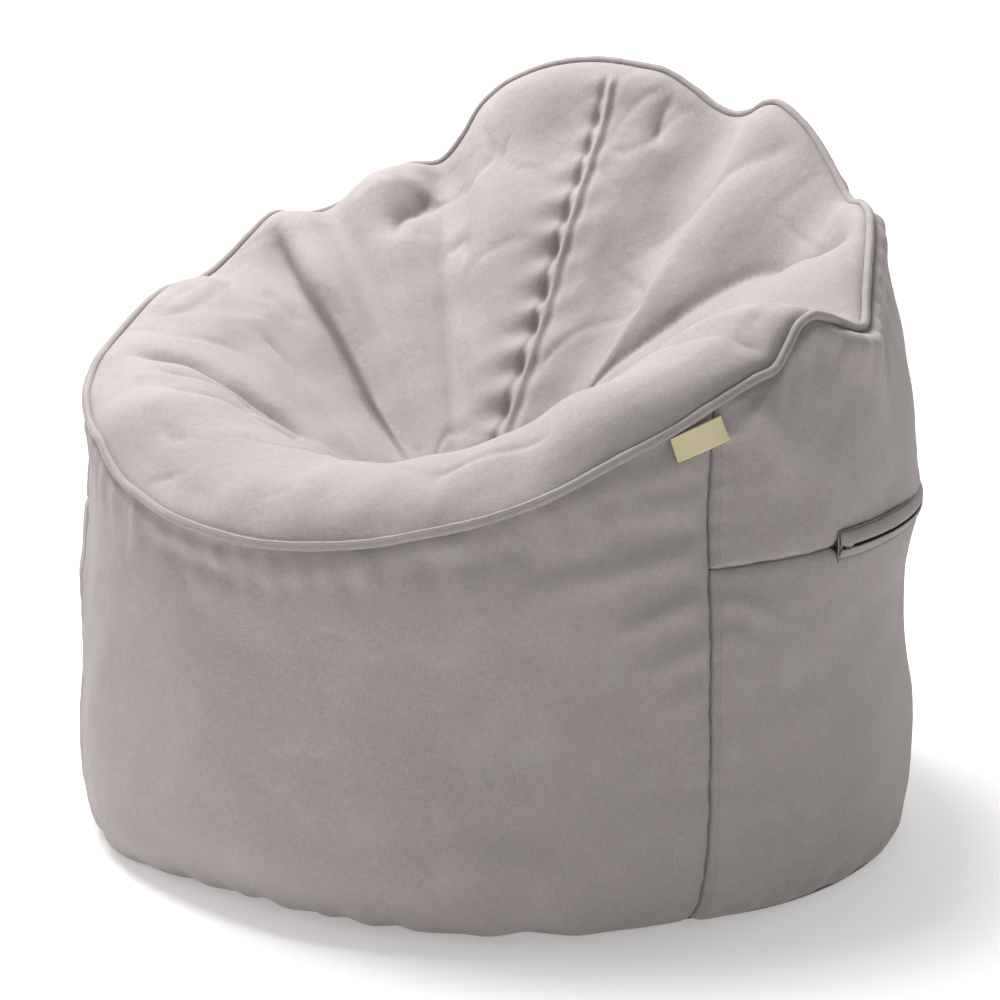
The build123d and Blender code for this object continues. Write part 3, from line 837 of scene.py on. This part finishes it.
def lipAlong(name, which):
    _, _, _, _, first, last = ringOf("zip_flap_" + which)
    section = np.array(lips[which])
    bearing = np.linspace(first, last, 420)
    around = np.radians(bearing) * chair["waistRadius"]
    ease = np.minimum(np.minimum(bearing - first, last - bearing) / 1.2, 1)[:, None]
    ease = np.sqrt(np.clip(1 - (1 - ease) ** 2, 0, 1))
    ripple = (0.35 * np.sin(around / 19 + np.sin(around / 43)) + 0.2 * np.sin(around / 7.3))[:, None]
    shape = section[:, 0] - 409.3
    radius = 409.3 + shape * (0.45 + 0.55 * ease) + np.abs(ripple) * 0.4 * (shape > 4.8) * ease
    height = zipHeight + section[:, 1] + ripple * (np.abs(section[:, 1]) > 7) * 0.8
    points = atBearing(radius, bearing[:, None] + 0 * radius, height)
    edge = np.concatenate([[0], np.cumsum(np.linalg.norm(np.diff(section, axis=0), axis=1))])
    uv = np.stack([around[:, None] + 0 * radius, edge + 0 * radius], -1).reshape(-1, 2)
    faces = gridFaces(len(bearing), len(section), wrap=True).tolist()
    last = (len(bearing) - 1) * len(section)
    faces += [list(range(len(section)))[::-1], [last + k for k in range(len(section))]]
    piece = meshOf(name, points.reshape(-1, 3), faces, uv)
    faceOut(piece)
    addModifier(piece, "SUBSURF", levels=1, render_levels=1)
    applyAll(piece)
    return piece


lipUpper = lipAlong("zipLipUpper", "upper")
lipLower = lipAlong("zipLipLower", "lower")
print("zip and stitches done")

# What is inside: the liner bag, and the beads that fill it.
inside = {"linerGap": 6.0, "linerCloth": 0.6, "beadGap": 8.5, "around": 200}


def innerGrid(gap):
    around = inside["around"]
    bearing = np.linspace(-180, 180, around, endpoint=False)
    hollowBearing = np.interp(bearing, roundChair, rimFromHollow)
    part = np.concatenate([[0.03, 0.06], np.linspace(0.1, 1, 30)])
    x, t = np.meshgrid(hollowBearing, part, indexing="ij")
    top, topNormal = seatSurface(x, t)
    top = top - topNormal * gap
    low, high = np.zeros(around), rimAt(bearing)[:, 2]
    share = np.linspace(1, 0, 34) ** 1.2
    heights = high[:, None] * share
    both = np.repeat(bearing[:, None], len(share), axis=1)
    wallSide, wallNormal = wallSurface(both, heights)
    wallSide = wallSide - wallNormal * gap
    ring = wallSide[:, -1:] * [1, 1, 0]
    reach = np.linspace(1, 0.03, 14)[None, :, None]
    bottom = ring * reach + np.array([0, 0, min(gap, 5.2)])
    return top, wallSide, bottom


def innerPiece(name, rows, gap, capFirst=False, capLast=False):
    grid = np.concatenate(rows, axis=1)
    around, along = grid.shape[:2]
    points = underCloth(grid.reshape(-1, 3), gap)
    faces = []
    for k in range(around):
        n = (k + 1) % around
        for m in range(along - 1):
            faces.append([k * along + m, n * along + m, n * along + m + 1, k * along + m + 1][::-1])
    for wanted, column in ((capFirst, 0), (capLast, along - 1)):
        if wanted:
            ring = [k * along + column for k in range(around)]
            points = np.vstack([points, points[ring].mean(axis=0)])
            for k in range(around):
                pair = [ring[k], ring[(k + 1) % around], len(points) - 1]
                faces.append(pair if column == 0 else pair[::-1])
    piece = meshOf(name, points, faces)
    faceOut(piece)
    return piece


outer = innerGrid(inside["linerGap"])
linerTop = innerPiece("linerTop", [outer[0]], inside["linerGap"], capFirst=True)
linerWall = innerPiece("linerWall", [outer[1]], inside["linerGap"])
linerBase = innerPiece("linerBase", [outer[2]], 2.6, capLast=True)
beadGap = inside["beadGap"]
beadFill = innerPiece("beadFill", innerGrid(beadGap), beadGap, capFirst=True, capLast=True)
for piece in (linerTop, linerWall, linerBase):
    addModifier(piece, "SOLIDIFY", thickness=inside["linerCloth"] * mm, offset=-1)
    applyAll(piece)
print("liner and beads done")

for panel in panels.values():
    addModifier(panel, "SOLIDIFY", thickness=cloth["thickness"] * mm, offset=-1)
    applyAll(panel)

scene = bpy.context.scene


def fromHex(code):
    parts = [int(code[k:k + 2], 16) / 255 for k in (0, 2, 4)]
    return tuple(p / 12.92 if p <= 0.04045 else ((p + 0.055) / 1.055) ** 2.4 for p in parts) + (1,)


def addNode(tree, kind, settings=None, links=None):
    node = tree.nodes.new("ShaderNode" + kind)
    for name, value in (settings or {}).items():
        setattr(node, name, value)
    for name, value in (links or {}).items():
        if isinstance(value, bpy.types.Node):
            value = value.outputs[0]
        if isinstance(value, bpy.types.NodeSocket):
            tree.links.new(value, node.inputs[name])
        else:
            node.inputs[name].default_value = value
    return node


def calc(tree, operation, *values):
    return addNode(tree, "Math", {"operation": operation}, dict(enumerate(values)))


def noiseOf(tree, vector, scale, detail, roughness=0.5):
    links = {"Vector": vector, "Scale": scale, "Detail": detail, "Roughness": roughness}
    return addNode(tree, "TexNoise", links=links)


def mapped(tree, links):
    return addNode(tree, "MapRange", links=links)


def relieved(tree, height, distance, strength):
    links = {"Height": height, "Distance": distance, "Strength": strength}
    return addNode(tree, "Bump", links=links)


def blended(tree, factor, first, second):
    return addNode(tree, "Mix", {"data_type": "RGBA"}, {"Factor": factor, 6: first, 7: second})


def placeInMm(tree, place, output):
    links = {0: place.outputs[output], "Scale": 1 / mm}
    return addNode(tree, "VectorMath", {"operation": "SCALE"}, links)


def newMaterial(name):
    material = bpy.data.materials.new(name)
    material.use_nodes = True
    material.node_tree.nodes.clear()
    return material, material.node_tree


def finishMaterial(tree, shader):
    addNode(tree, "OutputMaterial", links={"Surface": shader})


# Brushed cotton twill: a matt, faintly downy cloth with a fine diagonal rib. The real rib is about 0.6 mm,
# and it is drawn at 1.3 mm so that it shows.
twill = {
    "dark": "938b8a", "light": "b3aba9", "worn": "bcb5b3", "rib": 1.3, "yarn": 0.8, "slub": 9.0, "grain": 1.5,
    "blotch": 55, "ribDepth": 0.10, "grainDepth": 0.28, "rumple": 14, "rumpleDepth": 0.5,
}


def wovenTwill(name, look):
    material, tree = newMaterial(name)
    place = addNode(tree, "TexCoord")
    inMm = placeInMm(tree, place, "UV")
    bodyMm = placeInMm(tree, place, "Object")
    split = addNode(tree, "SeparateXYZ", links={0: inMm})
    both = calc(tree, "ADD", split, split.outputs[1])
    ribTurn = calc(tree, "MULTIPLY", both, 2 * math.pi / look["rib"])
    rib = addNode(tree, "Math", {"operation": "SINE"}, {0: ribTurn})
    warp = addNode(tree, "Mapping", links={
        "Vector": inMm, "Scale": (1 / look["yarn"], 1 / look["slub"], 1)})
    weft = addNode(tree, "Mapping", links={
        "Vector": inMm, "Scale": (1 / look["slub"], 1 / look["yarn"], 1), "Location": (31, 17, 5)})
    warpNoise = noiseOf(tree, warp, 1.0, 2.0)
    weftNoise = noiseOf(tree, weft, 1.0, 2.0)
    yarns = calc(tree, "ADD", warpNoise, weftNoise)
    grain = noiseOf(tree, bodyMm, 1 / look["grain"], 3.0, 0.65)
    blotch = noiseOf(tree, bodyMm, 1 / look["blotch"], 4.0, 0.6)
    rumple = noiseOf(tree, bodyMm, 1 / look["rumple"], 2.0, 0.45)
    tone = calc(tree, "MULTIPLY_ADD", yarns, 0.9, grain)
    toneFit = mapped(tree, {0: tone, "From Min": 0.85, "From Max": 1.95})
    spread = calc(tree, "MULTIPLY_ADD", rib, 0.05, toneFit)
    colour = blended(tree, spread, fromHex(look["dark"]), fromHex(look["light"]))
    wear = mapped(tree, {0: blotch, "From Min": 0.52, "From Max": 0.8, "To Max": 0.35})
    shown = blended(tree, wear, colour.outputs[2], fromHex(look["worn"]))
    weave = calc(tree, "MULTIPLY_ADD", rib, look["ribDepth"], 0.0)
    nap = calc(tree, "MULTIPLY_ADD", tone, look["grainDepth"], weave)
    height = calc(tree, "MULTIPLY_ADD", rumple, look["rumpleDepth"] * 2, nap)
    bump = relieved(tree, height, 0.001, 0.9)
    rough = mapped(tree, {0: grain, "To Min": 0.78, "To Max": 0.95})
    shader = addNode(tree, "BsdfPrincipled", links={
        "Base Color": shown.outputs[2], "Roughness": rough, "Normal": bump,
        "Specular IOR Level": 0.25, "Sheen Weight": 0.18, "Sheen Roughness": 0.45,
        "Sheen Tint": fromHex("e8e2df")})
    finishMaterial(tree, shader)
    return material


coverTwill = wovenTwill("brushedCottonTwill", twill)
# The same twill cut on the bias for the piping, so its rib runs round the cord.
pipingTwill = wovenTwill("biasCutTwill", dict(
    twill, rib=1.1, rumpleDepth=0.15, dark="8d8584", light="b1a9a7"))

# Satin-woven cotton label: smooth, with fine level picks and a crease at its fold. It is left blank.
labelLook = {"base": "e3d8b6", "thread": "d3c69f", "pick": 0.9}


def satinLabel():
    material, tree = newMaterial("wovenSatinLabel")
    place = addNode(tree, "TexCoord")
    inMm = placeInMm(tree, place, "UV")
    split = addNode(tree, "SeparateXYZ", links={0: inMm})
    turn = calc(tree, "MULTIPLY", split.outputs[1], 2 * math.pi / labelLook["pick"])
    pick = addNode(tree, "Math", {"operation": "SINE"}, {0: turn})
    stretch = addNode(tree, "Mapping", links={"Vector": inMm, "Scale": (0.25, 1.4, 1)})
    slub = noiseOf(tree, stretch, 1.0, 3.0)
    tone = calc(tree, "MULTIPLY_ADD", pick, 0.18, slub)
    colour = blended(tree, tone, fromHex(labelLook["base"]), fromHex(labelLook["thread"]))
    bump = relieved(tree, tone, 0.0002, 0.8)
    shader = addNode(tree, "BsdfPrincipled", links={
        "Base Color": colour.outputs[2], "Roughness": 0.6, "Normal": bump,
        "Specular IOR Level": 0.3, "Sheen Weight": 0.15, "Sheen Roughness": 0.4})
    finishMaterial(tree, shader)
    return material


# Finishes that follow the body itself: a slow tone, a fine grain and its relief. With cells, the tone is
# painted shade that darkens towards each cell's edge.
def grained(
    name, dark, light, grain, depth, roughness,
    coat=0.0, sheen=0.0, stretch=(1, 1, 1), pattern="NOISE",
):
    material, tree = newMaterial(name)
    place = addNode(tree, "TexCoord")
    inMm = placeInMm(tree, place, "Object")
    pull = addNode(tree, "Mapping", links={"Vector": inMm, "Scale": stretch})
    if pattern == "CELLS":
        fine = addNode(tree, "TexVoronoi", {"feature": "F1"}, {
            "Vector": pull, "Scale": 1 / grain})
        # the cells are painted darker towards their edges, where the relief sinks: painted shade in the gaps
        # between the beads
        relief = calc(tree, "MULTIPLY", fine.outputs["Distance"], -1.0)
        toneAndGapShade = mapped(tree, {0: fine.outputs["Distance"], "To Min": 1.0, "To Max": 0.0})
    else:
        fine = noiseOf(tree, pull, 1 / grain, 4.0, 0.6)
        relief = fine
        toneAndGapShade = mapped(tree, {0: fine, "From Min": 0.3, "From Max": 0.7})
    colour = blended(tree, toneAndGapShade, fromHex(dark), fromHex(light))
    bump = relieved(tree, relief, depth * mm, 1.0)
    shader = addNode(tree, "BsdfPrincipled", links={
        "Base Color": colour.outputs[2], "Roughness": roughness, "Normal": bump,
        "Coat Weight": coat, "Sheen Weight": sheen})
    finishMaterial(tree, shader)
    return material


labelSatin = satinLabel()
sewingThread = grained("twistedPolyesterThread", "8f8684", "b9b0ad", 0.5, 0.08, 0.55, sheen=0.1)
zipTapeWeave = grained(
    "wovenPolyesterTape", "756d6b", "958c89", 0.7, 0.12, 0.8, sheen=0.1, stretch=(1, 1, 2.5))
nylonCoil = grained("extrudedNylonCoil", "6f6866", "88807d", 0.9, 0.03, 0.35)
enamelledZinc = grained("enamelledDieCastZinc", "8a8280", "9b9390", 1.2, 0.02, 0.32, coat=0.4)
linerWeave = grained("plainWovenPolycotton", "d9d5cc", "efece5", 0.8, 0.15, 0.9, sheen=0.1)
# the darker colour, at the cell edges, is painted shade between the white beads
foamBeads = grained("expandedPolystyreneBeads", "cfcfcd", "f6f6f4", 4.0, 2.0, 0.6, pattern="CELLS")
cottonCord = grained("laidCottonCord", "c9c2b4", "e2dccf", 1.1, 0.3, 0.9, sheen=0.15, stretch=(1, 1, 0.4))

finishes = [  # piece, material, slot and the node it stands for
    (frontPanel, coverTwill, "cover_cloth", "front_panel"),
    (lowerPanel, coverTwill, "cover_cloth", "back_lower_panel"),
    (upperPanel, coverTwill, "cover_cloth", "back_upper_panel"),
    (seatPanel, coverTwill, "cover_cloth", "seat_panel"),
    (basePanel, coverTwill, "cover_cloth", "base_panel"),
    (lipUpper, coverTwill, "cover_cloth", "zip_flap_upper"),
    (lipLower, coverTwill, "cover_cloth", "zip_flap_lower"),
    (pipingCover, pipingTwill, "cover_cloth", "piping_cover"),
    (pipingCore, cottonCord, "piping_cord", "piping_cord"),
    (sideLabel, labelSatin, "label_cloth", "side_label"),
    (rightTopstitch, sewingThread, "thread", "side_topstitch_right"),
    (leftTopstitch, sewingThread, "thread", "side_topstitch_left"),
    (tackPieces[0], sewingThread, "thread", "zip_end_tacks"),
    (tackPieces[1], sewingThread, "thread", None),
    (tapeUpper, zipTapeWeave, "zip_tape", "zip_tape_upper"),
    (tapeLower, zipTapeWeave, "zip_tape", "zip_tape_lower"),
    (coilUpper, nylonCoil, "zip_coil", "zip_coil_upper"),
    (coilLower, nylonCoil, "zip_coil", "zip_coil_lower"),
    (linerTop, linerWeave, "liner_cloth", "liner_top"),
    (linerWall, linerWeave, "liner_cloth", "liner_wall"),
    (linerBase, linerWeave, "liner_cloth", "liner_base"),
    (beadFill, foamBeads, "beads", "bead_fill"),
]
for piece, material, slot, node in finishes:
    piece.data.materials.clear()
    piece.data.materials.append(material)
    makeActive(piece)
    bpy.ops.object.shade_smooth()
    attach(piece, "side_label" if piece == sideLabel else "chair")
    if node:
        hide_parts(node)

carried = {
    "zip_stops": nylonCoil, "zip_slider": enamelledZinc, "liner_zip_slider": enamelledZinc,
    "liner_zip_stops": nylonCoil, "liner_zip_tape_upper": zipTapeWeave, "liner_zip_tape_lower": zipTapeWeave,
    "liner_zip_coil_upper": nylonCoil, "liner_zip_coil_lower": nylonCoil,
}
for node, material in carried.items():
    for slot in frame["nodes"][node].material_slots:
        slot.material = material

view = {"place": (0.9974, -2.1389, 0.826), "down": 12.4, "turn": 25.0, "lens": 87.9, "shift": 0.003}
cameraData = bpy.data.cameras.new("camera")
cameraData.lens, cameraData.sensor_width, cameraData.shift_x = view["lens"], 36, view["shift"]
camera = bpy.data.objects.new("camera", cameraData)
camera.location = view["place"]
camera.rotation_euler = (math.radians(90 - view["down"]), 0, math.radians(view["turn"]))
scene.collection.objects.link(camera)
scene.camera = camera
scene.view_settings.view_transform = "Standard"

studio = {
    "sky": ("ffffff", 0.3),
    "overhead": ((-0.7, 0.1, 2.5), 1.6, 92),
    "left": ((-2.2, -1.9, 1.9), 1.6, 10),
    "floorGlow": 0.28,
    "backdropGlow": 1.0,
}
world = bpy.data.worlds.new("studio")
scene.world = world
world.use_nodes = True
world.node_tree.nodes["Background"].inputs["Color"].default_value = fromHex(studio["sky"][0])
world.node_tree.nodes["Background"].inputs["Strength"].default_value = studio["sky"][1]
for name in ("overhead", "left"):
    place, size, power = studio[name]
    data = bpy.data.lights.new(name + "Softbox", "AREA")
    data.shape, data.size, data.energy = "DISK", size, power
    lamp = bpy.data.objects.new(name + "Softbox", data)
    lamp.location = place
    lamp.rotation_euler = (Vector((0, 0, 0.38)) - Vector(place)).to_track_quat("-Z", "Y").to_euler()
    scene.collection.objects.link(lamp)

bend = np.linspace(0, math.pi / 2, 13)
along = np.concatenate([[-12, 0, 4], 4.5 + 2 * np.sin(bend), [6.5, 6.5]])
tall = np.concatenate([[0, 0, 0], 2 - 2 * np.cos(bend), [5, 9]])
turn = math.radians(view["turn"])
ahead, aside = np.array([-math.sin(turn), math.cos(turn), 0]), np.array([math.cos(turn), math.sin(turn), 0])
rows = [along[:, None] * ahead + [0, 0, 1] * tall[:, None] + side * 14 * aside for side in (-1, 1)]
sweep = np.stack(rows, axis=1) / mm - [0, 0, 0.5]
staged = (("studioFloor", sweep[:3], "floorGlow"), ("studioBackdrop", sweep[2:], "backdropGlow"))
for name, rows, glow in staged:
    sheet = meshOf(name, rows.reshape(-1, 3), gridFaces(*rows.shape[:2])[:, ::-1].tolist())
    paper = grained("rolledPaper" + name, "f2f1f0", "f8f7f6", 3.0, 0.02, 0.9)
    paperShader = next(node for node in paper.node_tree.nodes if node.type == "BSDF_PRINCIPLED")
    paperShader.inputs["Emission Color"].default_value = fromHex("ffffff")
    paperShader.inputs["Emission Strength"].default_value = studio[glow]
    sheet.data.materials.append(paper)
